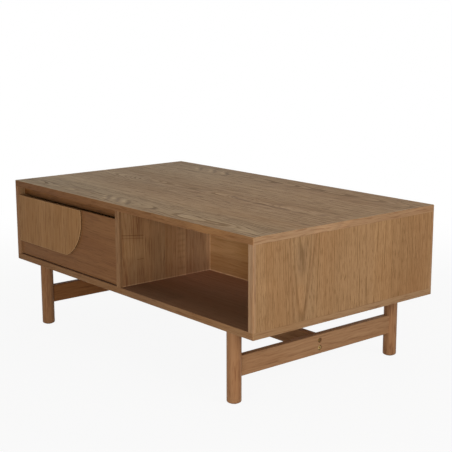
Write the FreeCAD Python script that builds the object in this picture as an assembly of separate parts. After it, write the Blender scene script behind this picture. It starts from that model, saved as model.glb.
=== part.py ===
import FreeCAD, Part
import math
import os
from FreeCAD import Vector

# Coffee table: a long case on a trestle base, with a drawer and an open cubby on each long side.
# The layout repeats when the table is turned half round, so the rear is the front turned about Z.
# X runs along the length, the front faces -Y, Z is up and the origin is on the floor at the middle.

# Overall size, in millimetres
table_length = 1100.0
table_depth = 640.0
table_height = 435.0
leg_height = 190.0

# Boards of the case, and the solid strips glued on their edges
top_thickness = 18.0
bottom_thickness = 18.0
side_thickness = 18.0
divider_thickness = 18.0
partition_thickness = 18.0
lipping_thickness = 8.0
corner_radius = 3.0
rim_radius = 1.5
arris_radius = 0.8

# Finger gap over each drawer, and the rail set back behind it
finger_gap = 25.0
finger_rail_setback = 23.0
finger_rail_thickness = 18.0

# Drawer face: a ground board with a raised overlay flush with the case
face_side_gap = 2.0
face_floor_gap = 2.5
face_thickness = 12.0
overlay_thickness = 5.0
overlay_width = 349.0
overlay_rise = 40.0
overlay_curve_drop = 25.5
overlay_curve_dip = 7.5
finger_groove_depth = 6.0
finger_groove_height = 18.0

# Drawer box
box_board = 12.0
box_lift = 12.0
box_top_drop = 29.5
box_rear_gap = 15.0
box_floor_thickness = 6.0
box_floor_rise = 10.0
box_floor_groove = 5.0

# Telescopic runners, sold in lengths that go up by a fixed step
runner_step = 50.0
runner_width = 12.7
runner_height = 45.0
runner_plate = 1.2
runner_play = 0.3
runner_lip_gap = 1.5
runner_screw_room = 3.0
runner_front_gap = 3.0

# Trestle base
leg_diameter = 37.0
leg_inset_x = 110.0
leg_inset_y = 36.0
foot_radius = 4.5
pad_diameter = 24.0
pad_thickness = 3.0
pad_recess = 1.5
rail_thickness = 20.0
rail_height = 52.0
rail_centre = 92.0
rail_housing = 6.0
rail_radius = 2.0
stretcher_thickness = 20.0
stretcher_height = 47.0

# Connector bolts through the end rails, and the barrel nuts in the stretcher
bolt_diameter = 6.0
bolt_length = 50.0
bolt_head_diameter = 10.0
bolt_head_height = 5.0
bolt_head_room = 2.0
bolt_recess_low = 2.0
bolt_recess_high = 5.0
bolt_spacing = 20.0
bolt_key = 5.0
bolt_key_depth = 3.0
bolt_play = 0.3
nut_diameter = 10.0
nut_length = 15.0
nut_setback = 30.0

# Bolts and threaded inserts between the legs and the case
leg_bolt_diameter = 8.0
leg_bolt_bite = 30.0
insert_diameter = 12.0
insert_cover = 4.0
insert_play = 0.1

# Wooden dowels
dowel_diameter = 8.0
dowel_length = 30.0
dowel_cover = 6.0
dowel_inset = 60.0
dowel_chamfer = 1.0
dowel_play = 0.1
board_dowels = 4
partition_dowels = 3
rail_dowel_length = 36.0
rail_dowel_bite = 14.0
rail_dowel_spacing = 26.0

# Wood screws of the runners and the drawer faces
screw_diameter = 3.5
screw_head_diameter = 6.6
screw_head_height = 1.6
screw_head_radius = 0.5
screw_cover = 4.0
screw_play = 0.1
runner_screws = 3
runner_screw_inset = 30.0
face_screw_inset_x = 60.0
face_screw_inset_z = 25.0

# Places worked out from the sizes above: the case and its bays
half_length = table_length / 2
half_depth = table_depth / 2
bay_low = leg_height + bottom_thickness
bay_high = table_height - top_thickness
bay_outer = half_length - side_thickness
bay_inner = divider_thickness / 2
bay_back = partition_thickness / 2

# The front drawer, in the left bay
face_left = -bay_outer + face_side_gap
face_right = -bay_inner - face_side_gap
face_low = bay_low + face_floor_gap
face_high = bay_high - finger_gap
face_front = -half_depth + overlay_thickness
face_back = face_front + face_thickness
box_left = -bay_outer + runner_width
box_right = -bay_inner - runner_width
box_rear = -bay_back - box_rear_gap
box_low = face_low + box_lift
box_high = face_high - box_top_drop
runner_front = face_back + runner_front_gap
runner_length = math.floor((box_rear - runner_front) / runner_step) * runner_step
runner_centre = (box_low + box_high) / 2
finger_rail_front = -half_depth + finger_rail_setback
finger_rail_rear = finger_rail_front + finger_rail_thickness

# The base
leg_x = half_length - leg_inset_x
leg_y = half_depth - leg_inset_y
foot_low = pad_thickness - pad_recess
rail_end = leg_y - leg_diameter / 2 + rail_housing
rail_outer = leg_x + rail_thickness / 2
rail_inner = leg_x - rail_thickness / 2
insert_length = bottom_thickness - insert_cover
nut_x = rail_inner - nut_setback
bolt_places = [(rail_centre - bolt_spacing / 2, bolt_recess_low),
               (rail_centre + bolt_spacing / 2, bolt_recess_high)]
leg_spots = [(x, y) for x in (-leg_x, leg_x) for y in (-leg_y, leg_y)]

along_x = Vector(1, 0, 0)
along_y = Vector(0, 1, 0)
along_z = Vector(0, 0, 1)
tiny = 1e-6


def block(x, y, z):
    low = Vector(min(x), min(y), min(z))
    high = Vector(max(x), max(y), max(z))
    size = high - low
    return Part.makeBox(size.x, size.y, size.z, low)


def rod(start, direction, length, diameter):
    return Part.makeCylinder(diameter / 2, length, start, direction)


def prism(points, direction):
    outline = Part.makePolygon(points + points[:1])
    return Part.Face(outline).extrude(direction)


def edges_on(shape, axis, value):
    # Edges that lie wholly in the plane where the given axis has the given value
    found = []
    for edge in shape.Edges:
        box = edge.BoundBox
        low = (box.XMin, box.YMin, box.ZMin)[axis]
        high = (box.XMax, box.YMax, box.ZMax)[axis]
        if abs(low - value) < tiny and abs(high - value) < tiny:
            found.append(edge)
    return found


def upright_edges(shape, x=None, y=None):
    # Edges along Z, at the given X or Y where one is given
    found = []
    for edge in shape.Edges:
        start, end = edge.Vertexes[0].Point, edge.Vertexes[-1].Point
        runs_up = abs(start.z - end.z) > tiny
        at_x = x is None or abs(start.x - x) < tiny
        at_y = y is None or abs(start.y - y) < tiny
        if runs_up and at_x and at_y:
            found.append(edge)
    return found


def drill(shape, holes):
    near = [hole for hole in holes if hole.BoundBox.intersect(shape.BoundBox)]
    return shape.cut(near) if near else shape


def half_turn(shape):
    turned = shape.copy()
    turned.rotate(Vector(0, 0, 0), along_z, 180)
    return turned


def spread(low, high, count):
    step = (high - low) / (count - 1)
    return [low + step * index for index in range(count)]


def save(name, shape):
    shape.exportStep("parts/" + name + ".step")


def save_pair(name, twin, shape):
    save(name, shape)
    save(twin, half_turn(shape))


def save_group(name, shapes):
    save(name, Part.makeCompound(shapes))


# Dowels of the case

def case_dowel_places():
    # Start and direction of each dowel that joins two boards of the case
    top_start = bay_high + top_thickness - dowel_cover
    bottom_start = bay_low - bottom_thickness + dowel_cover
    reach = half_depth - dowel_inset
    spots = []
    for x in (-half_length + side_thickness / 2, 0, half_length - side_thickness / 2):
        spots += [(x, y) for y in spread(-reach, reach, board_dowels)]
    near, far = bay_inner + dowel_inset, bay_outer - dowel_inset
    for x in spread(near, far, partition_dowels):
        spots += [(x, 0), (-x, 0)]
    places = []
    for x, y in spots:
        places.append((Vector(x, y, top_start), -along_z))
        places.append((Vector(x, y, bottom_start), along_z))
    rail_y = (finger_rail_front + finger_rail_rear) / 2
    rail_z = bay_high - finger_gap / 2
    side_start = bay_outer + side_thickness - dowel_cover
    divider_start = bay_inner - divider_thickness + dowel_cover
    for turn in (1, -1):
        y = turn * rail_y
        places.append((Vector(-turn * side_start, y, rail_z), along_x * turn))
        places.append((Vector(-turn * divider_start, y, rail_z), -along_x * turn))
    return places


def dowel(start, direction, length):
    body = rod(start, direction, length, dowel_diameter)
    rims = [edge for edge in body.Edges if edge.Closed]
    return body.makeChamfer(dowel_chamfer, rims)


def dowel_hole(start, direction, length):
    return rod(start, direction, length, dowel_diameter + 2 * dowel_play)


# Boards of the case

def edged_board(low, high, rim):
    # A board with four mitred lippings whose outer rim is eased on the plane Z = rim
    outer = block((-half_length, half_length), (-half_depth, half_depth), (low, high))
    outer = outer.makeFillet(corner_radius, upright_edges(outer))
    outer = outer.makeFillet(rim_radius, edges_on(outer, 2, rim))
    core_x = half_length - lipping_thickness
    core_y = half_depth - lipping_thickness
    core = block((-core_x, core_x), (-core_y, core_y), (low, high))
    ring = outer.cut(core)
    up = along_z * (high - low)
    front = prism([Vector(-half_length, -half_depth, low), Vector(half_length, -half_depth, low),
                   Vector(core_x, -core_y, low), Vector(-core_x, -core_y, low)], up)
    left = prism([Vector(-half_length, -half_depth, low), Vector(-core_x, -core_y, low),
                  Vector(-core_x, core_y, low), Vector(-half_length, half_depth, low)], up)
    return core, ring.common(front), ring.common(left)


def side_board():
    reach = half_depth - lipping_thickness
    return block((-half_length, -bay_outer), (-reach, reach), (bay_low, bay_high))


def side_lipping():
    strip = block((-half_length, -bay_outer), (-half_depth, -half_depth + lipping_thickness),
                  (bay_low, bay_high))
    strip = strip.makeFillet(corner_radius, upright_edges(strip, x=-half_length, y=-half_depth))
    return strip.makeFillet(arris_radius, upright_edges(strip, x=-bay_outer, y=-half_depth))


def divider_board():
    reach = half_depth - lipping_thickness
    return block((-bay_inner, bay_inner), (-reach, reach), (bay_low, bay_high))


def divider_lipping():
    strip = block((-bay_inner, bay_inner), (-half_depth, -half_depth + lipping_thickness),
                  (bay_low, bay_high))
    return strip.makeFillet(arris_radius, upright_edges(strip, y=-half_depth))


def partition():
    return block((bay_inner, bay_outer), (-bay_back, bay_back), (bay_low, bay_high))


def finger_rail():
    return block((-bay_outer, -bay_inner), (finger_rail_front, finger_rail_rear),
                 (bay_high - finger_gap, bay_high))


# Drawer: every piece is made for the front drawer, left and right as seen when facing it

def face_board():
    board = block((face_left, face_right), (face_front, face_back), (face_low, face_high))
    board = board.makeFillet(arris_radius, edges_on(board, 1, face_front))
    groove = block((face_left, face_right), (face_back - finger_groove_depth, face_back),
                   (face_high - finger_groove_height, face_high))
    return board.cut(groove)


def overlay():
    # A flat panel whose inner edge bulges as part of a circle. The centre lies a little below the upper edge,
    # and the whole circle would dip a little below the lower edge.
    right = face_left + overlay_width
    low = face_low + overlay_rise
    centre_z = face_high - overlay_curve_drop
    radius = centre_z - low + overlay_curve_dip
    upper = right - radius + math.sqrt(radius ** 2 - overlay_curve_drop ** 2)
    lower = right - radius + math.sqrt(radius ** 2 - (radius - overlay_curve_dip) ** 2)
    corners = [Vector(lower, -half_depth, low), Vector(face_left, -half_depth, low),
               Vector(face_left, -half_depth, face_high), Vector(upper, -half_depth, face_high)]
    arc = Part.Arc(corners[-1], Vector(right, -half_depth, centre_z), corners[0]).toShape()
    outline = Part.Wire([Part.makePolygon(corners), arc])
    panel = Part.Face(outline).extrude(along_y * overlay_thickness)
    return panel.makeFillet(arris_radius, edges_on(panel, 1, -half_depth))


def box_floor():
    reach_left = box_left + box_board - box_floor_groove
    reach_right = box_right - box_board + box_floor_groove
    reach_front = face_back + box_board - box_floor_groove
    reach_rear = box_rear - box_board + box_floor_groove
    low = box_low + box_floor_rise
    return block((reach_left, reach_right), (reach_front, reach_rear), (low, low + box_floor_thickness))


def box_side(outer, inner):
    board = block((outer, inner), (face_back, box_rear), (box_low, box_high))
    return board.cut(box_floor())


def box_end(front, rear):
    board = block((box_left + box_board, box_right - box_board), (front, rear), (box_low, box_high))
    return board.cut(box_floor())


# Runners: nested channels, each set inside the last with a running gap

def channel(back, lip, half_height):
    # A channel along Y whose plate is at X = back and whose flanges reach to X = lip
    y = (runner_front, runner_front + runner_length)
    outer = block((back, lip), y, (runner_centre - half_height, runner_centre + half_height))
    inward = math.copysign(runner_plate, lip - back)
    room = half_height - runner_plate
    inner = block((back + inward, lip), y, (runner_centre - room, runner_centre + room))
    return outer.cut(inner)


def runner(wall, inward):
    # Case, middle and drawer members between the wall at X = wall and the drawer box
    lip = wall + inward * (runner_width - runner_lip_gap)
    middle_back = wall + inward * (runner_plate + runner_screw_room)
    drawer_lip = middle_back + inward * (runner_plate + runner_play)
    shrink = runner_plate + runner_play
    case_member = channel(wall, lip, runner_height / 2)
    middle_member = channel(middle_back, lip, runner_height / 2 - shrink)
    drawer_member = channel(wall + inward * runner_width, drawer_lip, runner_height / 2 - 2 * shrink)
    return case_member, middle_member, drawer_member


# Screws

def screw(seat, direction, length):
    # A pan-head screw whose head rests at the seat and whose tip points along the direction
    head = rod(seat, -direction, screw_head_height, screw_head_diameter)
    crown = seat - direction * screw_head_height
    rims = [edge for edge in head.Edges if edge.CenterOfMass.distanceToPoint(crown) < tiny]
    head = head.makeFillet(screw_head_radius, rims)
    return head.fuse(rod(seat, direction, length, screw_diameter)).removeSplitter()


def screw_hole(seat, direction, length):
    return rod(seat, direction, length, screw_diameter + 2 * screw_play)


def runner_screw_places(wall, direction, board):
    # Seat, direction and length of the screws through a member's plate into the board behind it
    seat_x = wall - direction.x * runner_plate
    length = runner_plate + board - screw_cover
    ends = (runner_front + runner_screw_inset, runner_front + runner_length - runner_screw_inset)
    rows = spread(ends[0], ends[1], runner_screws)
    return [(Vector(seat_x, y, runner_centre), direction, length) for y in rows]


def face_screw_places():
    seat_y = face_back + box_board
    length = box_board + face_thickness - screw_cover
    columns = (box_left + face_screw_inset_x, box_right - face_screw_inset_x)
    rows = (box_low + face_screw_inset_z, box_high - face_screw_inset_z)
    return [(Vector(x, seat_y, z), -along_y, length) for x in columns for z in rows]


# Base

def end_rail():
    rail = block((rail_inner, rail_outer), (-rail_end, rail_end),
                 (rail_centre - rail_height / 2, rail_centre + rail_height / 2))
    long_edges = [edge for edge in rail.Edges if abs(edge.Vertexes[0].Y - edge.Vertexes[-1].Y) > tiny]
    return rail.makeFillet(rail_radius, long_edges)


def stretcher():
    board = block((-rail_inner, rail_inner), (-stretcher_thickness / 2, stretcher_thickness / 2),
                  (rail_centre - stretcher_height / 2, rail_centre + stretcher_height / 2))
    long_edges = [edge for edge in board.Edges if abs(edge.Vertexes[0].X - edge.Vertexes[-1].X) > tiny]
    return board.makeFillet(rail_radius, long_edges)


def leg(x, y):
    post = rod(Vector(x, y, foot_low), along_z, leg_height - foot_low, leg_diameter)
    post = post.makeFillet(foot_radius, edges_on(post, 2, foot_low))
    return post.cut(rod(Vector(x, y, foot_low), along_z, pad_recess, pad_diameter))


def foot_pad(x, y):
    return rod(Vector(x, y, 0), along_z, pad_thickness, pad_diameter)


def leg_bolt(x, y, play):
    start = Vector(x, y, leg_height - leg_bolt_bite)
    return rod(start, along_z, leg_bolt_bite + insert_length, leg_bolt_diameter + 2 * play)


def leg_insert(x, y, play):
    return rod(Vector(x, y, leg_height), along_z, insert_length, insert_diameter + 2 * play)


def rail_dowel_places():
    # The two dowels in each joint of the right end rail with its legs
    places = []
    for turn in (1, -1):
        for side in (1, -1):
            z = rail_centre + side * rail_dowel_spacing / 2
            places.append((Vector(leg_x, turn * (rail_end + rail_dowel_bite), z), along_y * -turn))
    return places


def connector_bolt(z, sunk):
    # Hex-socket bolt through the right end rail, its head sunk in a wider recess
    crown = Vector(rail_outer - sunk, 0, z)
    head = rod(crown, -along_x, bolt_head_height, bolt_head_diameter)
    corner = bolt_key / math.sqrt(3)
    turns = [math.radians(60 * step) for step in range(6)]
    points = [crown + Vector(0, corner * math.cos(turn), corner * math.sin(turn)) for turn in turns]
    head = head.cut(prism(points, along_x * -bolt_key_depth))
    under_head = crown - along_x * bolt_head_height
    return head.fuse(rod(under_head, -along_x, bolt_length, bolt_diameter)).removeSplitter()


def bolt_holes(z, sunk):
    crown = Vector(rail_outer, 0, z)
    under_head = sunk + bolt_head_height
    recess = rod(crown, -along_x, under_head, bolt_head_diameter + 2 * bolt_head_room)
    bore = rod(crown, -along_x, under_head + bolt_length, bolt_diameter + 2 * bolt_play)
    return [recess, bore]


def barrel_nut(z, sunk):
    nut = rod(Vector(nut_x, -nut_length / 2, z), along_y, nut_length, nut_diameter)
    return nut.cut(bolt_holes(z, sunk)[1])


def nut_hole(z):
    # Open at the stretcher's rear face, so that the nut can be dropped in
    depth = nut_length / 2 + stretcher_thickness / 2
    return rod(Vector(nut_x, -nut_length / 2, z), along_y, depth, nut_diameter + 2 * bolt_play)


def both_ends(shapes):
    return shapes + [half_turn(shape) for shape in shapes]


def build_case(runner_wall_holes):
    places = case_dowel_places()
    holes = [dowel_hole(start, direction, dowel_length) for start, direction in places]
    holes += [leg_insert(x, y, insert_play) for x, y in leg_spots]
    holes += runner_wall_holes
    for name, low, high, rim in (("top", bay_high, table_height, table_height),
                                 ("bottom", leg_height, bay_low, leg_height)):
        core, front, left = edged_board(low, high, rim)
        save(name + "_panel", drill(core, holes))
        save_pair(name + "_front_lipping", name + "_rear_lipping", drill(front, holes))
        save_pair(name + "_left_lipping", name + "_right_lipping", drill(left, holes))
    front_lipping = side_lipping()
    rear_lipping = front_lipping.mirror(Vector(0, 0, 0), along_y)
    save_pair("left_side", "right_side", drill(side_board(), holes))
    save_pair("left_side_front_lipping", "right_side_rear_lipping", front_lipping)
    save_pair("left_side_rear_lipping", "right_side_front_lipping", rear_lipping)
    save("divider", drill(divider_board(), holes))
    save_pair("divider_front_lipping", "divider_rear_lipping", divider_lipping())
    save_pair("right_partition", "left_partition", drill(partition(), holes))
    save_pair("front_finger_rail", "rear_finger_rail", drill(finger_rail(), holes))
    save_group("case_dowels", [dowel(start, direction, dowel_length) for start, direction in places])


def build_drawers():
    # Both drawers and their runners; returns the screw holes in the case's walls
    left_runner = runner(-bay_outer, 1)
    right_runner = runner(-bay_inner, -1)
    case_screws = (runner_screw_places(-bay_outer, -along_x, side_thickness)
                   + runner_screw_places(-bay_inner, along_x, divider_thickness))
    box_screws = (runner_screw_places(box_left, along_x, box_board)
                  + runner_screw_places(box_right, -along_x, box_board))
    drawer_screws = box_screws + face_screw_places()
    case_holes = [screw_hole(*place) for place in case_screws]
    drawer_holes = [screw_hole(*place) for place in drawer_screws]
    pieces = {
        "face_board": face_board(),
        "overlay": overlay(),
        "box_left_side": box_side(box_left, box_left + box_board),
        "box_right_side": box_side(box_right, box_right - box_board),
        "box_inner_front": box_end(face_back, face_back + box_board),
        "box_back": box_end(box_rear - box_board, box_rear),
        "box_floor": box_floor(),
    }
    for name, shape in pieces.items():
        save_pair("front_drawer_" + name, "rear_drawer_" + name, drill(shape, drawer_holes))
    case_members, middle_members, drawer_members = zip(left_runner, right_runner)
    drilled = [drill(member, drawer_holes) for member in drawer_members]
    save_pair("front_runner_drawer_members", "rear_runner_drawer_members", Part.makeCompound(drilled))
    save_pair("front_runner_middle_members", "rear_runner_middle_members",
              Part.makeCompound(list(middle_members)))
    save_pair("front_drawer_screws", "rear_drawer_screws",
              Part.makeCompound([screw(*place) for place in drawer_screws]))
    save_group("runner_case_members", both_ends([drill(member, case_holes) for member in case_members]))
    save_group("runner_case_screws", both_ends([screw(*place) for place in case_screws]))
    return both_ends(case_holes)


def build_base():
    rail_places = rail_dowel_places()
    dowel_holes = both_ends([dowel_hole(*place, rail_dowel_length) for place in rail_places])
    bolts = both_ends([connector_bolt(*place) for place in bolt_places])
    cross_holes = both_ends([hole for place in bolt_places for hole in bolt_holes(*place)])
    nut_holes = [nut_hole(z) for z, _ in bolt_places]
    nut_holes += [hole.mirror(Vector(0, 0, 0), along_x) for hole in nut_holes]
    rail = end_rail()
    housings = both_ends([rail])
    for name, twin, x in (("front_left_leg", "rear_right_leg", -leg_x),
                          ("front_right_leg", "rear_left_leg", leg_x)):
        post = drill(leg(x, -leg_y), housings + dowel_holes + [leg_bolt(x, -leg_y, insert_play)])
        save_pair(name, twin, post)
    save_pair("right_end_rail", "left_end_rail", drill(rail, dowel_holes + cross_holes))
    save("stretcher", drill(stretcher(), cross_holes + nut_holes))
    save_group("stretcher_bolts", bolts)
    save_group("barrel_nuts", both_ends([barrel_nut(*place) for place in bolt_places]))
    save_group("end_rail_dowels", both_ends([dowel(*place, rail_dowel_length) for place in rail_places]))
    save_group("leg_bolts", [leg_bolt(x, y, 0) for x, y in leg_spots])
    save_group("leg_inserts", [leg_insert(x, y, 0).cut(leg_bolt(x, y, insert_play)) for x, y in leg_spots])
    save_group("foot_pads", [foot_pad(x, y) for x, y in leg_spots])


os.makedirs("parts", exist_ok=True)
wall_holes = build_drawers()
build_case(wall_holes)
build_base()
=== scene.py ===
import bpy
import math
from mathutils import Euler, Matrix, Vector
from types import SimpleNamespace

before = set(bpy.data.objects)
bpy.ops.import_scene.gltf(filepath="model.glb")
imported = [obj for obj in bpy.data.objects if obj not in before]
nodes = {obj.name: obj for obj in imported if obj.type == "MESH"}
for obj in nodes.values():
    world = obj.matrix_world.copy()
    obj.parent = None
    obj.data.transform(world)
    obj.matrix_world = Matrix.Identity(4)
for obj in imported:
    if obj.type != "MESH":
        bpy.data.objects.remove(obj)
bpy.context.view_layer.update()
print("frame loaded,", len(nodes), "pieces")


# node helpers: a value is a number, a colour or another node's socket

def put(tree, kind, inputs=None, **settings):
    made = tree.nodes.new(kind)
    for key, value in settings.items():
        setattr(made, key, value)
    for key, value in (inputs or {}).items():
        feed(tree, made.inputs[key], value)
    return made


def feed(tree, socket, value):
    if isinstance(value, bpy.types.NodeSocket):
        tree.links.new(value, socket)
    else:
        socket.default_value = value


def calc(tree, operation, first, second=0.0, third=0.0):
    inputs = {0: first, 1: second, 2: third}
    return put(tree, "ShaderNodeMath", inputs, operation=operation).outputs[0]


def addUp(tree, *terms):  # each term is a socket and its weight
    total = 0.0
    for socket, weight in terms:
        total = calc(tree, "MULTIPLY_ADD", socket, weight, total)
    return total


def ease(tree, value, low, high, start=0.0, end=1.0):
    inputs = {"Value": value, "From Min": low, "From Max": high, "To Min": start, "To Max": end}
    return put(tree, "ShaderNodeMapRange", inputs, interpolation_type="SMOOTHSTEP").outputs[0]


def between(tree, value, low, high, soft):  # 1 from low to high, with soft ends
    rising = ease(tree, value, low - soft, low + soft)
    falling = ease(tree, value, high + soft, high - soft)
    return calc(tree, "MULTIPLY", rising, falling)


def join(tree, x, y, z):
    return put(tree, "ShaderNodeCombineXYZ", {0: x, 1: y, 2: z}).outputs[0]


def noise(tree, vector, scale=1.0, detail=2.0, roughness=0.5):
    inputs = {"Vector": vector, "Scale": scale, "Detail": detail, "Roughness": roughness}
    return put(tree, "ShaderNodeTexNoise", inputs).outputs["Fac"]


def chance(tree, value):  # three steady random numbers for each whole value
    made = put(tree, "ShaderNodeTexWhiteNoise", {"W": value}, noise_dimensions="1D")
    return put(tree, "ShaderNodeSeparateColor", {0: made.outputs["Color"]}).outputs


def blendColour(tree, share, first, second, mode="MIX"):
    made = put(tree, "ShaderNodeMix", data_type="RGBA", blend_type=mode)
    feed(tree, made.inputs[0], share)
    feed(tree, made.inputs[6], first)
    feed(tree, made.inputs[7], second)
    return made.outputs[2]


def paint(code):  # a colour as it shows on screen, such as "9e7652"
    shown = [int(code[at:at + 2], 16) / 255 for at in (0, 2, 4)]
    return [c / 12.92 if c < 0.04045 else ((c + 0.055) / 1.055) ** 2.4 for c in shown] + [1.0]


def startMaterial(name):
    material = bpy.data.materials.new(name)
    material.use_nodes = True
    tree = material.node_tree
    tree.nodes.clear()
    shader = put(tree, "ShaderNodeBsdfPrincipled")
    put(tree, "ShaderNodeOutputMaterial", {0: shader.outputs[0]})
    return material, tree, shader


def middleOf(name, axis):  # how far a piece's middle lies from the table's own, on one axis
    places = [corner["xyz".index(axis)] for corner in nodes[name].bound_box]
    return abs(min(places) + max(places)) / 2


def dress(material, *names):
    for name in names:
        for slot in nodes[name].material_slots:
            slot.material = material


# stained oak: growth rings round a heart line, cut by the board's face, under a matt lacquer

plainOak = {
    "along": "x", "across": "y", "through": "z",
    "light": "ab835c", "dark": "8a6443", "pore": "5f4129", "warm": "a4713f",
    "leafWidth": 0.13, "leafStart": 0.0, "leafTone": 0.30,
    "middle": 0.0,        # where the board lies on its third axis, on either side of the table
    "heartDepth": 0.06, "heartSide": 0.0, "heartSpread": 0.03,
    "rise": 0.03, "sway": 0.010, "swayLength": 0.30, "bend": 0.010, "wriggle": 0.010,
    "crowns": (),         # leaf, slope and depth of the heart line where a leaf shows arches
    "eyes": (),           # leaf, middle, half length and dip of the heart line where rings close
    "ring": 0.0050, "ringTone": 0.6, "streakTone": 1.1, "fibreTone": 0.6, "blotchTone": 0.9,
    "dashTone": 0.6,
    "dashes": (17.0, 230.0),  # dashes to the metre, along and across the grain
    "poreShow": 0.45, "warmShow": 0.35,
    "edge": "rubbed",     # which kind of edge: rubbed or rounded edges lighter, as wear and as a painted highlight; glued joints dark; or plain
    "wearAndHighlight": 0.9,          # how much a rubbed or rounded edge shows lighter, as wear and as a painted highlight
    "rim": (1.0, 1.0, 1.0),   # tint of the faces that don't look along the third axis, a painted shade
    "tint": (1.0, 1.0, 1.0),  # tint of the whole piece
    "marks": (),          # stretches where the wood is lighter or darker
    "rough": 0.55, "gloss": 0.10, "bump": 0.25, "bumpDepth": 0.0004,
    "seed": 1.0,
}
oakPattern = {  # what every cut shares; a grain is its scale along and across, detail and roughness
    "leafShift": 7.0,         # how far apart along the tree two leaves can be cut
    "seedStep": 101.0, "farStep": 13.0, "leafStep": 57.0,   # keep the random draws apart
    "bendWave": (2.2, 8.0), "wriggleWave": (14.0, 16.0),    # waves to the metre, along and across
    "ringStart": (0.0, 0.10), "ringEnd": (0.12, 0.75),      # early wood, as shares of a ring
    "ringLeast": 0.2, "ringMean": 0.16,
    "ringBreak": (20.0, 150.0, 1.0, 0.5), "breakSpan": (0.38, 0.58), "breakLeast": 0.35,
    "streak": (2.6, 120.0, 4.0, 0.62),
    "fibre": (12.0, 620.0, 2.0, 0.55),
    "blotch": (1.7, 7.0, 3.0, 0.55), "warmSpan": (0.42, 0.68),
    "dashSoft": (2.0, 0.5), "dashSpan": (0.53, 0.66), "dashMean": 0.25,
    "pore": (34.0, 520.0, 1.0, 0.5), "poreSpan": (0.56, 0.70), "poreLeast": 0.2,
    "rimSpan": (0.5, 0.1), "upSpan": (0.55, 0.95), "seamShow": 0.6,
    "depthLeast": 0.75, "depthLuck": 0.5,                   # shares of the heart line's depth
    "relief": (-1.0, -0.35, 0.25, 0.20),                    # pores, early wood, fibres and streaks
    "roughness": (0.15, 0.12, 0.06), "roughMean": 0.08,     # pores, streaks and early wood
}
edgeLook = {
    "width": {"rubbed": 0.002, "joint": 0.0012}, "samples": 4,
    "turn": (0.995, 0.90),    # cosine of the turn from the face, at the edge's start and in full
    "arrisTurn": (0.99, 0.85),
}
hairSoft = 0.0008             # how soft a sharp mark ends


def stretch(on, low, high, tint, soft=hairSoft, within=None, lean=None):  # from low to high on an axis
    return {"on": on, "span": (low, high), "tint": tint, "soft": soft, "within": within, "lean": lean}


def tintMark(tree, colour, axes, mark):
    value = axes[mark["on"]]
    if mark["lean"]:
        other, slope = mark["lean"]
        value = calc(tree, "MULTIPLY_ADD", axes[other], -slope, value)
    share = between(tree, value, *mark["span"], mark["soft"])
    if mark["within"]:
        other, low, high = mark["within"]
        inside = between(tree, axes[other], low, high, mark["soft"])
        share = calc(tree, "MULTIPLY", share, inside)
    return blendColour(tree, share, colour, (*mark["tint"], 1.0), "MULTIPLY")


def edgeShare(tree, kind):
    straight = put(tree, "ShaderNodeNewGeometry").outputs["Normal"]
    if kind == "arris":  # rounded edges are where the surface looks along no axis
        sizes = put(tree, "ShaderNodeVectorMath", {0: straight}, operation="ABSOLUTE").outputs[0]
        parts = put(tree, "ShaderNodeSeparateXYZ", {0: sizes}).outputs
        largest = calc(tree, "MAXIMUM", calc(tree, "MAXIMUM", parts[0], parts[1]), parts[2])
        return ease(tree, largest, *edgeLook["arrisTurn"])
    width = {"Radius": edgeLook["width"][kind]}
    rounded = put(tree, "ShaderNodeBevel", width, samples=edgeLook["samples"]).outputs[0]
    both = {0: rounded, 1: straight}
    turn = put(tree, "ShaderNodeVectorMath", both, operation="DOT_PRODUCT").outputs["Value"]
    return ease(tree, turn, *edgeLook["turn"])


def waver(tree, cut, scales):  # slow noise about zero
    lengthwise = calc(tree, "MULTIPLY", cut.shifted, scales[0])
    sidewise = calc(tree, "MULTIPLY", cut.across, scales[1])
    return calc(tree, "SUBTRACT", noise(tree, join(tree, lengthwise, sidewise, cut.seed)), 0.5)


def cutLeaves(tree, look):  # the leaves of veneer or staves side by side, each from its own tree
    cut = SimpleNamespace()
    place = put(tree, "ShaderNodeTexCoord").outputs["Object"]
    cut.axes = dict(zip("xyz", put(tree, "ShaderNodeSeparateXYZ", {0: place}).outputs))
    cut.along, cut.across, through = [cut.axes[look[key]] for key in ("along", "across", "through")]
    far = calc(tree, "GREATER_THAN", through, 0.0)
    cut.deep = calc(tree, "SUBTRACT", calc(tree, "ABSOLUTE", through), look["middle"])
    cut.seed = calc(tree, "MULTIPLY_ADD", far, oakPattern["farStep"], look["seed"] * oakPattern["seedStep"])
    leafPlace = calc(tree, "DIVIDE", calc(tree, "SUBTRACT", cut.across, look["leafStart"]), look["leafWidth"])
    cut.leaf = calc(tree, "FLOOR", leafPlace)
    cut.luck = chance(tree, calc(tree, "ADD", cut.leaf, cut.seed))
    cut.shifted = calc(tree, "ADD", cut.along, calc(tree, "MULTIPLY", cut.luck[0], oakPattern["leafShift"]))
    fromMiddle = calc(tree, "SUBTRACT", calc(tree, "FRACT", leafPlace), 0.5)
    cut.inLeaf = calc(tree, "MULTIPLY", fromMiddle, look["leafWidth"])
    cut.wave = waver(tree, cut, oakPattern["bendWave"])
    wriggle = waver(tree, cut, oakPattern["wriggleWave"])
    cut.crossGrain = addUp(tree, (cut.wave, look["bend"]), (wriggle, look["wriggle"]), (cut.across, 1.0))
    return cut


def drawGrain(tree, cut, lengthwise, sidewise, detail, roughness):  # noise drawn out along the grain
    vector = join(tree, calc(tree, "MULTIPLY", cut.shifted, lengthwise),
                  calc(tree, "MULTIPLY", cut.crossGrain, sidewise),
                  calc(tree, "MULTIPLY", cut.deep, sidewise))
    return noise(tree, vector, detail=detail, roughness=roughness)


def inLeafOnly(tree, cut, whichLeaf):  # 1 in one leaf, 0 in the others
    return calc(tree, "COMPARE", cut.leaf, float(whichLeaf), 0.1)


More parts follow.
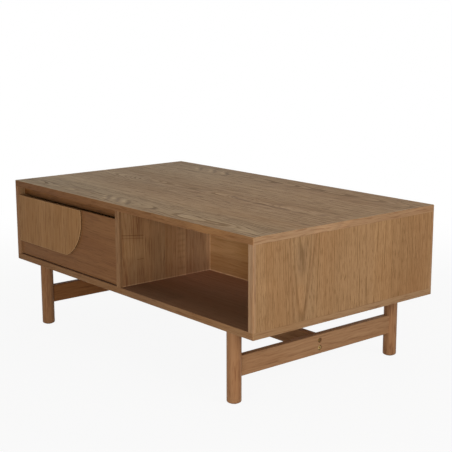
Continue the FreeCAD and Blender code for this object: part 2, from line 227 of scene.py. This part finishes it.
def heartLine(tree, look, cut):  # how far the heart line lies to the side of the face and below it
    sideways = addUp(tree, (cut.inLeaf, 1.0), (cut.wave, look["bend"]), (cut.luck[1], look["heartSpread"]))
    sideways = calc(tree, "ADD", sideways, look["heartSide"] - look["heartSpread"] / 2)
    swayPlace = join(tree, calc(tree, "DIVIDE", cut.shifted, look["swayLength"]), cut.seed, cut.leaf)
    swayed = calc(tree, "SUBTRACT", noise(tree, swayPlace, detail=1.0), 0.5)
    slope = calc(tree, "MULTIPLY", calc(tree, "SUBTRACT", cut.luck[2], 0.5), 2.0 * look["rise"])
    depth = addUp(tree, (calc(tree, "MULTIPLY", cut.along, slope), 1.0), (swayed, 2.0 * look["sway"]),
                  (cut.deep, 1.0), (cut.luck[1], oakPattern["depthLuck"] * look["heartDepth"]))
    depth = calc(tree, "ADD", depth, oakPattern["depthLeast"] * look["heartDepth"])
    for whichLeaf, lean, start in look["crowns"]:
        here = inLeafOnly(tree, cut, whichLeaf)
        climb = calc(tree, "MULTIPLY_ADD", cut.along, lean, start)
        depth = calc(tree, "MULTIPLY_ADD", climb, here, depth)
    for whichLeaf, at, half, dip in look["eyes"]:
        here = inLeafOnly(tree, cut, whichLeaf)
        dipped = between(tree, cut.along, at - half / 2, at + half / 2, half / 2)
        depth = calc(tree, "MULTIPLY_ADD", calc(tree, "MULTIPLY", dipped, -dip), here, depth)
    return sideways, depth


def drawRings(tree, look, cut):  # the early wood of each ring round the heart line, broken up by the grain
    squares = [(calc(tree, "POWER", part, 2.0), 1.0) for part in heartLine(tree, look, cut)]
    rings = calc(tree, "DIVIDE", calc(tree, "SQRT", addUp(tree, *squares)), look["ring"])
    ring = calc(tree, "FLOOR", rings)
    inRing = calc(tree, "FRACT", rings)
    ringLuck = chance(tree, addUp(tree, (ring, 1.0), (cut.leaf, oakPattern["leafStep"]), (cut.seed, 1.0)))
    least = oakPattern["ringLeast"]
    strength = calc(tree, "MULTIPLY_ADD", ringLuck[0], 1.0 - least, least)
    starts = ease(tree, inRing, *oakPattern["ringStart"])
    ends = ease(tree, inRing, *oakPattern["ringEnd"], 1.0, 0.0)
    early = calc(tree, "MULTIPLY", calc(tree, "MULTIPLY", starts, ends), strength)
    breaks = drawGrain(tree, cut, *oakPattern["ringBreak"])
    unbroken = ease(tree, breaks, *oakPattern["breakSpan"], oakPattern["breakLeast"], 1.0)
    return calc(tree, "MULTIPLY", early, unbroken)


def oakLook(tree, look):  # colour, roughness and relief of one cut of oak
    look = dict(plainOak, **look)
    shades = [paint(look[key]) for key in ("light", "dark", "pore", "warm")]
    light, dark, pored, warm = [[c * t for c, t in zip(shade, (*look["tint"], 1.0))] for shade in shades]
    cut = cutLeaves(tree, look)
    early = drawRings(tree, look, cut)
    streak = drawGrain(tree, cut, *oakPattern["streak"])
    fibre = drawGrain(tree, cut, *oakPattern["fibre"])
    blotch = drawGrain(tree, cut, *oakPattern["blotch"])
    dash = ease(tree, drawGrain(tree, cut, *look["dashes"], *oakPattern["dashSoft"]), *oakPattern["dashSpan"])
    pore = ease(tree, drawGrain(tree, cut, *oakPattern["pore"]), *oakPattern["poreSpan"])
    least = oakPattern["poreLeast"]
    pore = calc(tree, "MULTIPLY", pore, calc(tree, "MULTIPLY_ADD", early, 1.0 - least, least))

    # the shade between light and dark, the same on average whatever the tones
    tone = addUp(tree, (early, look["ringTone"]), (streak, look["streakTone"]), (fibre, look["fibreTone"]),
                 (blotch, look["blotchTone"]), (dash, look["dashTone"]), (cut.luck[2], look["leafTone"]))
    even = look["streakTone"] + look["fibreTone"] + look["blotchTone"] + look["leafTone"]
    mean = oakPattern["ringMean"] * look["ringTone"] + oakPattern["dashMean"] * look["dashTone"] + 0.5 * even
    share = put(tree, "ShaderNodeClamp", {0: calc(tree, "ADD", tone, 0.5 - mean)}).outputs[0]
    colour = blendColour(tree, share, light, dark)
    warmth = calc(tree, "MULTIPLY", ease(tree, blotch, *oakPattern["warmSpan"]), look["warmShow"])
    colour = blendColour(tree, warmth, colour, warm)
    colour = blendColour(tree, calc(tree, "MULTIPLY", pore, look["poreShow"]), colour, pored)
    for mark in look["marks"]:
        colour = tintMark(tree, colour, cut.axes, mark)
    # the rim tint on faces that don't look along the third axis is painted shade, used on the overlay's edge
    # faces
    if look["rim"] != plainOak["rim"]:
        normal = put(tree, "ShaderNodeNewGeometry").outputs["Normal"]
        facing = put(tree, "ShaderNodeSeparateXYZ", {0: normal}).outputs["xyz".index(look["through"])]
        rim = ease(tree, calc(tree, "ABSOLUTE", facing), *oakPattern["rimSpan"])
        colour = blendColour(tree, rim, colour, (*look["rim"], 1.0), "MULTIPLY")

    # edges: glued joints are a fine dark line; rubbed and rounded edges show the wood lighter, partly wear
    # and partly a painted highlight
    if look["edge"] == "joint":
        seam = calc(tree, "MULTIPLY", edgeShare(tree, "joint"), oakPattern["seamShow"])
        colour = blendColour(tree, seam, colour, pored)
    elif look["edge"] != "plain":
        patchy = calc(tree, "MULTIPLY", blotch, look["wearAndHighlight"])
        wearAndHighlight = calc(tree, "MULTIPLY", edgeShare(tree, look["edge"]), patchy)
        colour = blendColour(tree, wearAndHighlight, colour, paint(look.get("wornAndLit", look["light"])))

    relief = addUp(tree, *zip((pore, early, fibre, streak), oakPattern["relief"]))
    rough = addUp(tree, *zip((pore, streak, early), oakPattern["roughness"]))
    rough = calc(tree, "ADD", rough, look["rough"] - oakPattern["roughMean"])
    return colour, rough, relief


def makeOak(name, look, upperLook=None):  # a second look covers the faces that look up
    material, tree, shader = startMaterial(name)
    colour, rough, relief = oakLook(tree, look)
    if upperLook:
        upper = oakLook(tree, upperLook)
        normal = put(tree, "ShaderNodeNewGeometry").outputs["Normal"]
        up = put(tree, "ShaderNodeSeparateXYZ", {0: normal}).outputs[2]
        facesUp = ease(tree, up, *oakPattern["upSpan"])
        colour = blendColour(tree, facesUp, colour, upper[0])
        facesOut = calc(tree, "SUBTRACT", 1.0, facesUp)
        rough = addUp(tree, (rough, facesOut), (upper[1], facesUp))
        relief = addUp(tree, (relief, facesOut), (upper[2], facesUp))
    bump = {"Strength": plainOak["bump"], "Distance": plainOak["bumpDepth"], "Height": relief}
    feed(tree, shader.inputs["Base Color"], colour)
    feed(tree, shader.inputs["Roughness"], rough)
    feed(tree, shader.inputs["Normal"], put(tree, "ShaderNodeBump", bump).outputs[0])
    shader.inputs["Specular IOR Level"].default_value = look.get("gloss", plainOak["gloss"])
    return material


# the top: three crown-cut leaves along the length, with short slanting strokes in the outer two

strokes = {
    "places": ((-0.125, -0.276), (-0.080, -0.276), (-0.030, -0.276),
               (-0.38, 0.254), (-0.31, 0.254), (-0.25, 0.256)),
    "slope": -0.8, "width": 0.014, "length": 0.050, "soft": 0.006,
    "gap": 0.022,         # from a light stroke to the dark one on its right
    "light": (1.22, 1.26, 1.32), "dark": (0.70, 0.66, 0.64),
}


def slantedStroke(x, y, tint):
    line = y - strokes["slope"] * x
    halfWidth, halfLength = strokes["width"] / 2, strokes["length"] / 2
    return stretch("y", line - halfWidth, line + halfWidth, tint, strokes["soft"],
                   ("x", x - halfLength, x + halfLength), ("x", strokes["slope"]))


topVeneer = {
    "along": "x", "across": "y", "through": "z", "middle": middleOf("top_panel", "z"),
    "light": "ab8e6a", "dark": "735738", "pore": "58422d", "warm": "947149",
    "leafWidth": 0.261, "leafStart": -0.1425, "heartDepth": 0.030, "heartSpread": 0.02,
    "rise": 0.0, "sway": 0.030, "ring": 0.0055, "ringTone": 1.5, "streakTone": 1.3,
    "edge": "plain", "gloss": 0.06, "seed": 3.0,
    "crowns": ((-1, 0.03, 0.0), (0, -0.03, 0.0), (1, 0.05, 0.005)),
    "eyes": ((0, 0.355, 0.140, 0.020), (0, 0.150, 0.065, 0.014), (0, -0.30, 0.120, 0.010)),
    "marks": (
        stretch("x", 0.0, 0.9, (1.05, 0.99, 0.93), 0.3),          # warmer to the right
        stretch("x", -0.9, -0.25, (0.97, 1.01, 1.06), 0.2),       # greyer to the left
        stretch("y", -0.297, -0.262, (1.22, 1.28, 1.36), 0.012, ("x", 0.22, 0.53)),
        stretch("y", -0.015, 0.005, (1.20, 1.25, 1.32), 0.012, ("x", -0.53, -0.40)),
        stretch("y", -0.015, 0.005, (1.20, 1.25, 1.32), 0.012, ("x", 0.0, 0.09)),
        stretch("y", -0.022, 0.004, (0.88, 0.86, 0.84), 0.012, ("x", -0.13, -0.01)),
        *[slantedStroke(x, y, strokes["light"]) for x, y in strokes["places"]],
        *[slantedStroke(x + strokes["gap"], y, strokes["dark"]) for x, y in strokes["places"]],
        stretch("y", -0.262, -0.250, (0.84, 0.81, 0.80), 0.004, ("x", -0.6, -0.2)),
        stretch("y", -0.284, -0.268, (1.20, 1.24, 1.28), 0.008, ("x", -0.38, -0.28)),
        # outlines and pale inside of the eyes in the middle leaf
        stretch("y", -0.032, -0.020, (0.72, 0.67, 0.65), 0.007, ("x", 0.22, 0.36)),
        stretch("y", -0.027, -0.017, (0.80, 0.76, 0.74), 0.006, ("x", 0.20, 0.30), ("x", 0.10)),
        stretch("y", -0.020, 0.006, (0.72, 0.68, 0.66), 0.009, ("x", 0.455, 0.475)),
        stretch("y", 0.012, 0.024, (0.74, 0.70, 0.68), 0.007, ("x", 0.10, 0.20), ("x", -0.22)),
        stretch("y", -0.014, 0.004, (1.07, 1.08, 1.10), 0.009, ("x", 0.27, 0.43)),
        # darker to the back and the front, and one long fine line
        stretch("y", 0.19, 0.4, (0.87, 0.86, 0.85), 0.06),
        stretch("y", -0.4, -0.20, (0.87, 0.91, 0.94), 0.05),
        stretch("y", -0.0512, -0.0488, (0.80, 0.77, 0.74), within=("x", -0.37, 0.0)),
    ),
}
dress(makeOak("topVeneer", topVeneer), "top_panel")
print("top dressed")

# the two ends, with upright grain in narrower leaves

sideVeneer = {
    "along": "z", "across": "y", "through": "x", "middle": middleOf("right_side", "x"),
    "light": "a57f58", "dark": "82603d", "pore": "5f4229", "warm": "9a6d43",
    "leafWidth": 0.235, "leafStart": -0.317, "heartDepth": 0.05, "heartSide": -0.045, "heartSpread": 0.02,
    "rise": 0.04, "ring": 0.0050, "ringTone": 1.0, "dashTone": 1.1, "dashes": (36.0, 560.0),
    "edge": "joint", "seed": 5.0,
    "crowns": ((0, -0.035, 0.005),),
    "marks": (
        stretch("y", 0.153, 0.25, (0.95, 0.92, 0.88)),            # leaves of other shades at the back
        stretch("y", 0.25, 0.34, (1.00, 0.97, 0.94)),
        # the crown: grey above, pale below, between two leaning lines
        stretch("y", -0.180, -0.148, (0.88, 0.89, 0.92), 0.012, ("z", 0.325, 0.395)),
        stretch("y", -0.182, -0.156, (1.09, 1.06, 1.04), 0.009, ("z", 0.225, 0.30)),
        stretch("y", -0.2035, -0.1975, (0.80, 0.76, 0.73), 0.004, lean=("z", 0.20)),
        stretch("y", -0.179, -0.174, (0.82, 0.78, 0.75), 0.004, lean=("z", -0.07)),
        stretch("z", 0.295, 0.325, (1.08, 1.08, 1.08), 0.014, ("y", -0.30, -0.24)),
        stretch("y", 0.085, 0.153, (1.07, 1.07, 1.06), 0.004),
        stretch("y", -0.20, -0.12, (0.97, 1.00, 1.04), 0.02),
    ),
}
dress(makeOak("sideVeneer", sideVeneer), "left_side", "right_side")

# the divider, in upright staves, one of them rippled

ripples = {
    "heights": (0.230, 0.261, 0.279, 0.295, 0.310, 0.328, 0.345), "half": 0.003, "soft": 0.004,
    "stave": ("y", -0.124, -0.098), "tint": (0.86, 0.84, 0.82),
}
dividerVeneer = {
    "along": "z", "across": "y", "through": "x", "middle": 0.0,
    "light": "c0976b", "dark": "7c5538", "pore": "62442c", "warm": "9e6a3f",
    "leafWidth": 0.072, "leafStart": -0.024, "heartDepth": 0.05, "heartSide": 0.08, "heartSpread": 0.10,
    "ring": 0.0040, "ringTone": 0.35, "streakTone": 0.5, "dashTone": 0.25, "blotchTone": 1.1,
    "leafTone": 0.55, "edge": "plain", "seed": 8.0,
    "marks": (
        *[stretch("z", at - ripples["half"], at + ripples["half"], ripples["tint"], ripples["soft"],
                  ripples["stave"]) for at in ripples["heights"]],
        # painted light and shade inside the case: paler above, near the front and in the middle, darker below
        stretch("z", 0.33, 0.45, (1.05, 1.05, 1.05), 0.02),
        stretch("z", 0.285, 0.335, (1.16, 1.20, 1.20), 0.01, ("y", -0.33, -0.236)),
        stretch("z", 0.15, 0.25, (0.84, 0.80, 0.80), 0.03),
        stretch("y", -0.33, -0.262, (1.29, 1.35, 1.36), 0.012),
        stretch("y", -0.262, -0.21, (1.06, 1.02, 0.98), 0.012),
        stretch("y", -0.10, 0.10, (1.21, 1.28, 1.34), 0.02),
        stretch("y", -0.14, 0.14, (1.24, 1.31, 1.42), 0.05),
        # short cross lines, and a pale line along the foot, a painted highlight in the inner corner
        stretch("z", 0.3138, 0.3162, (0.66, 0.62, 0.58), within=("y", -0.32, -0.24), lean=("y", -0.1125)),
        stretch("z", 0.3060, 0.3078, (0.74, 0.70, 0.66), within=("y", -0.32, -0.24), lean=("y", -0.1125)),
        stretch("z", 0.2766, 0.2784, (0.72, 0.68, 0.64), within=("y", -0.263, -0.24)),
        stretch("z", 0.205, 0.2106, (1.50, 1.65, 1.90)),
    ),
}
dress(makeOak("dividerVeneer", dividerVeneer), "divider")

# the boards inside the case

partitionVeneer = {
    "along": "x", "across": "z", "through": "y", "middle": 0.0,
    "light": "bc8d5d", "dark": "96693d", "pore": "704828", "warm": "ae7738",
    "leafWidth": 0.26, "leafStart": 0.19, "heartDepth": 0.06, "heartSide": 0.02,
    "ringTone": 0.2, "streakTone": 0.8, "dashTone": 0.25, "edge": "plain",
    "tint": (0.94, 0.95, 0.94), "seed": 11.0,
    "marks": (
        # painted shade on the lower part and painted light towards the divider, for the light inside the case
        stretch("z", 0.15, 0.264, (0.77, 0.71, 0.65), 0.014),
        stretch("x", -0.14, 0.14, (1.25, 1.33, 1.50), 0.05),
        stretch("z", 0.205, 0.2110, (1.50, 1.75, 2.30)),          # painted highlight: pale lines in the corners
        stretch("x", -0.0118, 0.0118, (1.45, 1.65, 2.10)),
    ),
}
bottomVeneer = {
    "along": "x", "across": "y", "through": "z", "middle": middleOf("bottom_panel", "z"),
    "light": "8e684d", "dark": "6f4c35", "pore": "4a3022", "warm": "875c3c",
    "leafWidth": 0.22, "leafStart": -0.11, "ringTone": 0.2, "streakTone": 0.7, "dashTone": 0.2,
    "edge": "plain", "tint": (0.96, 0.96, 0.95), "seed": 13.0,
    "marks": (
        stretch("y", -0.17, 0.17, (1.70, 1.80, 2.00), 0.08),      # painted light: paler towards the middle
        stretch("y", -0.235, 0.235, (1.10, 1.10, 1.14), 0.015),
        # painted shade: darker near the front
        stretch("y", -0.33, -0.235, (0.84, 0.85, 0.86), 0.02, ("x", -0.1, 0.2)),
    ),
}
dress(makeOak("partitionVeneer", partitionVeneer), "left_partition", "right_partition")
dress(makeOak("bottomVeneer", bottomVeneer), "bottom_panel")
print("case boards dressed")

# solid strips on the edges of the boards

edgeStrip = {
    "light": "aa8059", "dark": "89603f", "pore": "63432a", "warm": "a56f3c",
    "leafWidth": 3.0, "leafStart": -1.5, "heartDepth": 0.05, "heartSide": 0.02, "ring": 0.0035,
    "edge": "arris",
}
# the top's end strips and the right side's strips are tinted lighter and bluer, painted light
stripTints = {
    "top_front": (0.84, 0.80, 0.71), "top_end": (1.12, 1.30, 1.55),
    "bottom_front": (0.80, 0.81, 0.80), "bottom_end": (0.93, 1.04, 1.14),
    "left_side": (1.05, 1.08, 1.18), "divider": (0.81, 0.80, 0.78), "right_side": (1.08, 1.22, 1.44),
}
# the marks on the front strips are painted light and shade: darker towards the left and in one stretch,
# lighter towards the right end
stripMarks = {
    "top_front": (stretch("x", -0.7, -0.15, (0.86, 0.82, 0.80), 0.15),
                  stretch("x", -0.7, 0.18, (0.89, 0.86, 0.84), 0.02),
                  stretch("x", 0.33, 0.45, (1.16, 1.16, 1.10), 0.04)),
    "top_end": (stretch("y", -0.76, -0.69, (1.14, 1.13, 1.11), 0.012, lean=("z", 1.5)),
                stretch("y", -0.672, -0.645, (1.16, 1.14, 1.12), 0.008, lean=("z", 1.5)),
                stretch("y", -0.03, 0.4, (0.97, 0.93, 0.88), 0.05)),
    "bottom_front": (stretch("x", 0.05, 0.18, (0.88, 0.86, 0.88), 0.03),
                     stretch("x", 0.42, 0.6, (1.12, 1.16, 1.20), 0.03)),
    "bottom_end": (),
}
longStrip = dict(edgeStrip, along="x", across="z", through="y", middle=middleOf("top_front_lipping", "y"),
                 seed=17.0)
shortStrip = dict(edgeStrip, along="y", across="z", through="x", middle=middleOf("top_right_lipping", "x"),
                  seed=19.0)
uprightStrip = dict(edgeStrip, along="z", across="x", through="y",
                    middle=middleOf("divider_front_lipping", "y"), seed=23.0)


def dressStrip(board, end, strip, veneer=None):  # each strip is a new piece of wood
    strip["seed"] += 1.0
    dress(makeOak(board + end.title() + "Strip", strip, veneer), board + "_" + end + "_lipping")


for board, veneer in (("top", topVeneer), ("bottom", bottomVeneer)):  # the veneer runs over the strips
    for strip, side, ends in ((longStrip, "_front", ("front", "rear")),
                              (shortStrip, "_end", ("left", "right"))):
        strip.update(tint=stripTints[board + side], marks=stripMarks[board + side])
        for end in ends:
            dressStrip(board, end, strip, veneer)
for board in ("left_side", "right_side", "divider"):
    uprightStrip["tint"] = stripTints[board]
    for end in ("front", "rear"):
        dressStrip(board, end, uprightStrip)

# the finger rail's darker colour is painted shade for its recess under the top, with painted light along its
# upper band and painted shade along its lower band
fingerRail = {
    "along": "x", "across": "z", "through": "y", "middle": middleOf("front_finger_rail", "y"),
    "light": "895c34", "dark": "5f3c1f", "pore": "462a14", "warm": "7c4d20",
    "leafWidth": 3.0, "leafStart": -1.5, "heartSide": 0.02, "ring": 0.0035, "seed": 29.0,
    "marks": (stretch("z", 0.408, 0.43, (1.52, 1.52, 1.52), 0.008),
              stretch("z", 0.38, 0.398, (0.65, 0.62, 0.58), 0.005)),
}
dress(makeOak("fingerRail", fingerRail), "front_finger_rail", "rear_finger_rail")
print("edges dressed")

# drawers: a darker ground board with level grain under a paler overlay with upright grain

faceBoard = {
    "along": "x", "across": "z", "through": "y", "middle": middleOf("front_drawer_face_board", "y"),
    "light": "91653e", "dark": "70482b", "pore": "53321d", "warm": "875631",
    "leafWidth": 0.5, "leafStart": 0.10, "heartDepth": 0.05, "heartSide": -0.06, "bend": 0.015,
    "rise": 0.03, "ring": 0.0045, "ringTone": 0.3, "dashTone": 0.35, "seed": 31.0,
}
overlay = {
    "along": "z", "across": "x", "through": "y", "middle": middleOf("front_drawer_overlay", "y"),
    "light": "ad8255", "dark": "8b623b", "pore": "674527", "warm": "a47240",
    "leafWidth": 0.118, "leafStart": -0.53, "heartSide": 0.09, "heartSpread": 0.08, "ring": 0.0040,
    # painted shade on the overlay's edge faces (the rim tint); its rounded front edge is painted lighter,
    # partly wear and partly a painted highlight
    "rim": (0.35, 0.30, 0.26), "wornAndLit": "d3ab7c", "wearAndHighlight": 1.6, "seed": 37.0,
}
drawerBox = {
    "along": "x", "across": "z", "through": "y", "middle": 0.15,
    "light": "c3a27a", "dark": "a8845b", "pore": "85653f", "warm": "bb9462",
    "leafWidth": 3.0, "leafStart": -1.5, "heartSide": 0.10, "seed": 41.0,
}
sideGrain = {"along": "y", "across": "z", "through": "x", "middle": 0.27, "seed": 43.0}
floorGrain = {"along": "x", "across": "y", "through": "z", "middle": 0.235, "seed": 47.0, "leafWidth": 0.3}
faceOak = makeOak("faceBoard", faceBoard)
overlayOak = makeOak("overlay", overlay)
boxOak = makeOak("drawerBox", drawerBox)
boxSideOak = makeOak("drawerBoxSide", dict(drawerBox, **sideGrain))
boxFloorOak = makeOak("drawerBoxFloor", dict(drawerBox, **floorGrain))
for end in ("front", "rear"):
    drawer = end + "_drawer_"
    dress(faceOak, drawer + "face_board")
    dress(overlayOak, drawer + "overlay")
    dress(boxOak, drawer + "box_inner_front", drawer + "box_back")
    dress(boxSideOak, drawer + "box_left_side", drawer + "box_right_side")
    dress(boxFloorOak, drawer + "box_floor")
print("drawers dressed")

# trestle base, in solid oak

legWood = {
    "along": "z", "across": "x", "through": "y", "middle": middleOf("front_left_leg", "y"),
    "light": "a97d57", "dark": "82593a", "pore": "5f3f27", "warm": "9f6a40",
    "leafWidth": 0.88, "leafStart": -0.88, "heartDepth": 0.05, "heartSide": 0.03, "ring": 0.0040,
    "ringTone": 0.4, "rough": 0.40, "seed": 53.0,
}
beamWood = dict(legWood, leafWidth=1.0, leafStart=-0.4, rough=0.55, ringTone=0.25, dashTone=0.35)
railWood = dict(beamWood, along="y", across="z", through="x", middle=middleOf("right_end_rail", "x"),
                tint=(1.04, 1.12, 1.18), seed=59.0,
                marks=(stretch("x", -0.46, -0.42, (0.74, 0.57, 0.39)),))  # painted shade: the left rail is darker, where the case shades it
stretcherWood = dict(beamWood, along="x", across="z", through="y", middle=0.0, gloss=0.06,
                     tint=(0.98, 0.98, 0.93), seed=61.0)
dowelWood = dict(legWood, light="c9ab80", dark="b08f63", pore="8f6f47", warm="c39f6d", seed=67.0)
dress(makeOak("legWood", legWood), "front_left_leg", "front_right_leg", "rear_left_leg", "rear_right_leg")
dress(makeOak("railWood", railWood), "left_end_rail", "right_end_rail")
dress(makeOak("stretcherWood", stretcherWood), "stretcher")
dress(makeOak("dowelWood", dowelWood), "case_dowels", "end_rail_dowels")
print("base dressed")


# metal: fine scratches, cloudy patches and a little tarnish

metalPattern = {
    "scratch": 900.0, "scratchDetail": 3.0, "scratchRoughness": 0.65, "cloudDetail": 3.0,
    "dullSpan": (0.45, 0.70),
    "scratchRough": 0.16, "cloudRough": 0.12, "roughMean": 0.14,
    "bump": 0.15, "bumpDepth": 0.00005,
}


def makeMetal(name, look):
    material, tree, shader = startMaterial(name)
    place = put(tree, "ShaderNodeTexCoord").outputs["Object"]
    brush = {0: place, 1: look["brush"]}
    stretched = put(tree, "ShaderNodeVectorMath", brush, operation="MULTIPLY").outputs[0]
    scratch = noise(tree, stretched, metalPattern["scratch"], metalPattern["scratchDetail"],
                    metalPattern["scratchRoughness"])
    cloud = noise(tree, place, look["cloud"], metalPattern["cloudDetail"])
    dull = calc(tree, "MULTIPLY", ease(tree, cloud, *metalPattern["dullSpan"]), look["tarnish"])
    shine = blendColour(tree, scratch, paint(look["dark"]), paint(look["light"]))
    rough = addUp(tree, (scratch, metalPattern["scratchRough"]), (cloud, metalPattern["cloudRough"]))
    rough = calc(tree, "ADD", rough, look["rough"] - metalPattern["roughMean"])
    bump = {"Strength": metalPattern["bump"], "Distance": metalPattern["bumpDepth"], "Height": scratch}
    feed(tree, shader.inputs["Base Color"], blendColour(tree, dull, shine, paint(look["stain"])))
    feed(tree, shader.inputs["Roughness"], rough)
    feed(tree, shader.inputs["Normal"], put(tree, "ShaderNodeBump", bump).outputs[0])
    shader.inputs["Metallic"].default_value = 1.0
    return material


runnerSteel = {"light": "9a9c9f", "dark": "7b7d80", "stain": "626467", "brush": (1.0, 0.03, 1.0),
               "cloud": 40.0, "tarnish": 0.35, "rough": 0.34}
fastenerSteel = {"light": "c9c8c2", "dark": "a5a49d", "stain": "77746b", "brush": (0.3, 0.3, 1.0),
                 "cloud": 120.0, "tarnish": 0.45, "rough": 0.36}
boltBrass = {"light": "c8ad78", "dark": "a08653", "stain": "6a5433", "brush": (0.1, 1.0, 1.0),
             "cloud": 160.0, "tarnish": 0.55, "rough": 0.33}
dress(makeMetal("runnerSteel", runnerSteel), "runner_case_members", "front_runner_middle_members",
      "rear_runner_middle_members", "front_runner_drawer_members", "rear_runner_drawer_members")
dress(makeMetal("fastenerSteel", fastenerSteel), "runner_case_screws", "front_drawer_screws",
      "rear_drawer_screws", "barrel_nuts", "leg_bolts", "leg_inserts")
dress(makeMetal("boltBrass", boltBrass), "stretcher_bolts")

# felt pads under the feet

padFelt = {"light": "6d665c", "dark": "47413a", "fluff": 900.0, "fluffDetail": 4.0, "fluffRoughness": 0.7,
           "cloud": 90.0, "fluffShare": 0.7, "roughSpan": (0.2, 0.8), "rough": (0.85, 1.0),
           "bump": 0.6, "bumpDepth": 0.0005, "sheen": 0.3}


def makeFelt(name, look):
    material, tree, shader = startMaterial(name)
    place = put(tree, "ShaderNodeTexCoord").outputs["Object"]
    fluff = noise(tree, place, look["fluff"], look["fluffDetail"], look["fluffRoughness"])
    clump = noise(tree, place, look["cloud"])
    mixed = addUp(tree, (fluff, look["fluffShare"]), (clump, 1.0 - look["fluffShare"]))
    bump = {"Strength": look["bump"], "Distance": look["bumpDepth"], "Height": fluff}
    colour = blendColour(tree, mixed, paint(look["dark"]), paint(look["light"]))
    feed(tree, shader.inputs["Base Color"], colour)
    feed(tree, shader.inputs["Roughness"], ease(tree, mixed, *look["roughSpan"], *look["rough"]))
    feed(tree, shader.inputs["Normal"], put(tree, "ShaderNodeBump", bump).outputs[0])
    shader.inputs["Sheen Weight"].default_value = look["sheen"]
    return material


dress(makeFelt("padFelt", padFelt), "foot_pads")
print("fittings dressed")


# stage: pale floor that keeps a soft shadow, white all round

floorLook = {"colour": "c4c2bf", "reach": 30.0, "shadow": 0.08, "fadeFrom": 0.75, "fadeTo": 2.2}
roomLight = 0.14
white = (1.0, 1.0, 1.0, 1.0)


def seenStraight(tree):  # 1 for what the camera sees itself, in gloss or through glass
    rays = put(tree, "ShaderNodeLightPath").outputs
    seen = calc(tree, "MAXIMUM", rays["Is Camera Ray"], rays["Is Glossy Ray"])
    return calc(tree, "MAXIMUM", seen, rays["Is Transmission Ray"])


def makeFloorPaper(name, look):
    paper = bpy.data.materials.new(name)
    paper.use_nodes = True
    tree = paper.node_tree
    tree.nodes.clear()
    matt = put(tree, "ShaderNodeBsdfDiffuse", {"Color": paint(look["colour"])})
    glow = put(tree, "ShaderNodeEmission", {"Color": white, "Strength": 1.0})
    spot = put(tree, "ShaderNodeTexCoord").outputs["Object"]
    away = put(tree, "ShaderNodeVectorMath", {0: spot}, operation="LENGTH").outputs["Value"]
    bright = ease(tree, away, look["fadeFrom"], look["fadeTo"], 1.0 - look["shadow"], 1.0)
    share = calc(tree, "MULTIPLY", seenStraight(tree), bright)
    mixed = put(tree, "ShaderNodeMixShader", {0: share, 1: matt.outputs[0], 2: glow.outputs[0]})
    put(tree, "ShaderNodeOutputMaterial", {0: mixed.outputs[0]})
    return paper


reach = floorLook["reach"]
corners = [(-reach, -reach, 0.0), (reach, -reach, 0.0), (reach, reach, 0.0), (-reach, reach, 0.0)]
floorMesh = bpy.data.meshes.new("floor")
floorMesh.from_pydata(corners, [], [(0, 1, 2, 3)])
floorMesh.materials.append(makeFloorPaper("floorPaper", floorLook))
floor = bpy.data.objects.new("floor", floorMesh)
bpy.context.scene.collection.objects.link(floor)

world = bpy.data.worlds.new("room")
bpy.context.scene.world = world
world.use_nodes = True
world.node_tree.nodes.clear()
strength = calc(world.node_tree, "MULTIPLY_ADD", seenStraight(world.node_tree), 1.0 - roomLight, roomLight)
sky = put(world.node_tree, "ShaderNodeBackground", {"Color": white, "Strength": strength})
put(world.node_tree, "ShaderNodeOutputWorld", {0: sky.outputs[0]})

lamps = {
    "key": {"place": (1.75, -2.6, 0.70), "target": (0.2, -0.1, 0.3), "size": 1.5, "power": 42.0},
    "side": {"place": (3.0, 0.4, 1.2), "target": (0.5, 0.0, 0.3), "size": 1.8, "power": 39.0},
    "rear": {"place": (-2.0, 2.6, 0.8), "target": (0.0, 0.1, 0.3), "size": 1.8, "power": 40.0,
             "mirrored": False},  # its mirror image would lie across the top
    "over": {"place": (0.0, -0.3, 2.6), "target": (0.0, 0.0, 0.4), "size": 2.6, "power": 16.0},
}
for name, lamp in lamps.items():
    light = bpy.data.lights.new(name, "AREA")
    light.size = lamp["size"]
    light.energy = lamp["power"]
    holder = bpy.data.objects.new(name, light)
    bpy.context.scene.collection.objects.link(holder)
    holder.visible_glossy = lamp.get("mirrored", True)
    holder.location = lamp["place"]
    aim = Vector(lamp["target"]) - Vector(lamp["place"])
    holder.rotation_euler = aim.to_track_quat("-Z", "Y").to_euler()

cameraLook = {"place": (2.284, -1.852, 0.934), "turn": 50.07, "tilt": 11.53, "roll": -0.12,
              "lens": 83.26, "sensor": 36.0}
camera = bpy.data.objects.new("camera", bpy.data.cameras.new("camera"))
bpy.context.scene.collection.objects.link(camera)
camera.data.lens = cameraLook["lens"]
camera.data.sensor_width = cameraLook["sensor"]
camera.location = cameraLook["place"]
level = math.radians(90.0 - cameraLook["tilt"])
facing = Euler((level, 0.0, math.radians(cameraLook["turn"]))).to_matrix()
roll = Matrix.Rotation(math.radians(cameraLook["roll"]), 3, "Z")
camera.rotation_euler = (facing @ roll).to_euler()
bpy.context.scene.camera = camera
bpy.context.scene.view_settings.view_transform = "Standard"
print("stage set")
